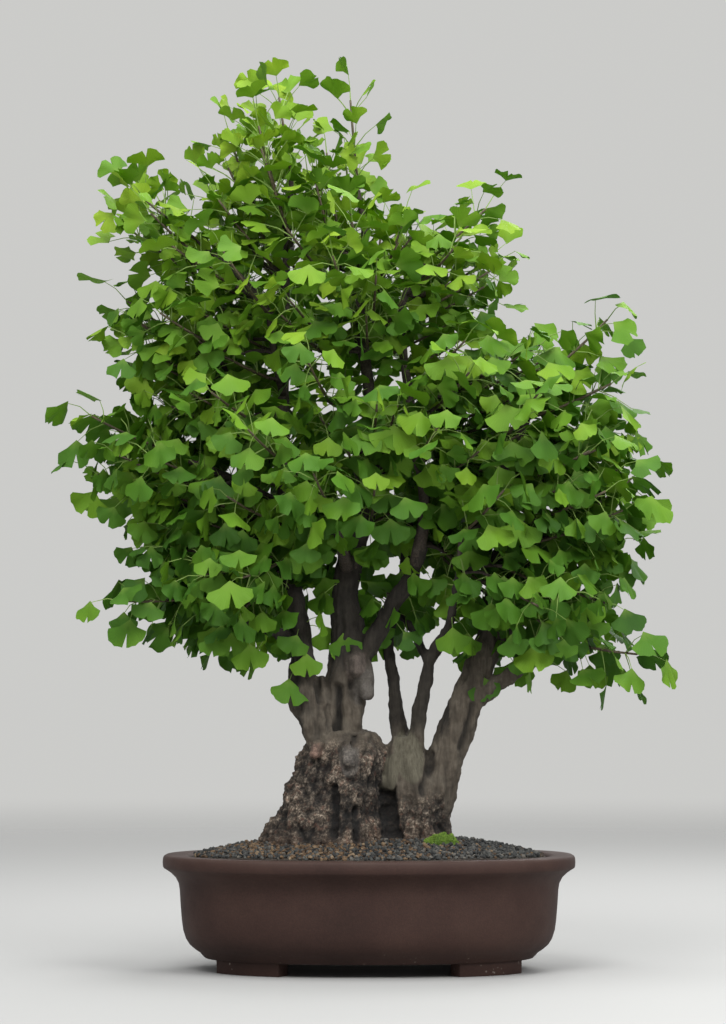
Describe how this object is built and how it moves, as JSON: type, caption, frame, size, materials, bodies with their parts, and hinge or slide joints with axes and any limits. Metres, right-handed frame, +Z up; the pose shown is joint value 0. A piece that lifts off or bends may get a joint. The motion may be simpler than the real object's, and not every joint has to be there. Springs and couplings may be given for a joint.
{
  "type": "ginkgo bonsai",
  "caption": "Ginkgo bonsai: a clump of craggy trunks under a broad crown of fan-shaped leaves, in gravelly soil in a brown unglazed oval stoneware pot on four feet.",
  "frame": {"origin": "on the ground under the middle of the pot, which is the middle of the whole tree's outline from above", "axes": "+Z up, +X to the right of someone who faces the tree's front, -Y towards them"},
  "size_m": [0.6354, 0.3696, 0.9179],
  "materials": {
    "clay": "unglazed stoneware, fired dark brown, matt, with a few pale mineral specks",
    "grit": "grey and ochre gravel over soil, dry and dull",
    "moss_green": "short cushion moss, soft and dull",
    "screen_black": "black plastic mesh, dull",
    "bark": "rough grey-brown bark with dark furrows and pale scars",
    "leaf_green": "living leaf, mid green with a faint sheen, yellower at the top of the tree"
  },
  "bodies": {
    "root": {"pot": "clay", "soil": "grit", "moss": "moss_green", "drain_screen_left": "screen_black", "drain_screen_right": "screen_black", "wood": "bark", "spray_01": "leaf_green", "spray_02": "leaf_green", "spray_03": "leaf_green", "spray_04": "leaf_green", "spray_05": "leaf_green", "spray_06": "leaf_green", "spray_07": "leaf_green", "spray_08": "leaf_green", "spray_09": "leaf_green", "spray_10": "leaf_green", "spray_11": "leaf_green", "spray_12": "leaf_green", "spray_13": "leaf_green", "spray_14": "leaf_green", "spray_15": "leaf_green", "spray_16": "leaf_green", "spray_17": "leaf_green", "spray_18": "leaf_green", "spray_19": "leaf_green", "spray_20": "leaf_green", "spray_21": "leaf_green", "spray_22": "leaf_green", "spray_23": "leaf_green", "spray_24": "leaf_green", "spray_25": "leaf_green", "spray_26": "leaf_green", "spray_27": "leaf_green", "spray_28": "leaf_green", "spray_29": "leaf_green", "spray_30": "leaf_green", "spray_31": "leaf_green", "spray_32": "leaf_green", "spray_33": "leaf_green", "spray_34": "leaf_green", "spray_35": "leaf_green", "spray_36": "leaf_green", "spray_37": "leaf_green", "spray_38": "leaf_green", "spray_39": "leaf_green", "spray_40": "leaf_green", "spray_41": "leaf_green", "spray_42": "leaf_green", "spray_43": "leaf_green", "spray_44": "leaf_green", "spray_45": "leaf_green", "spray_46": "leaf_green", "spray_47": "leaf_green", "spray_48": "leaf_green", "spray_49": "leaf_green", "spray_50": "leaf_green", "spray_51": "leaf_green", "spray_52": "leaf_green", "spray_53": "leaf_green", "spray_54": "leaf_green"}
  },
  "joints": []
}
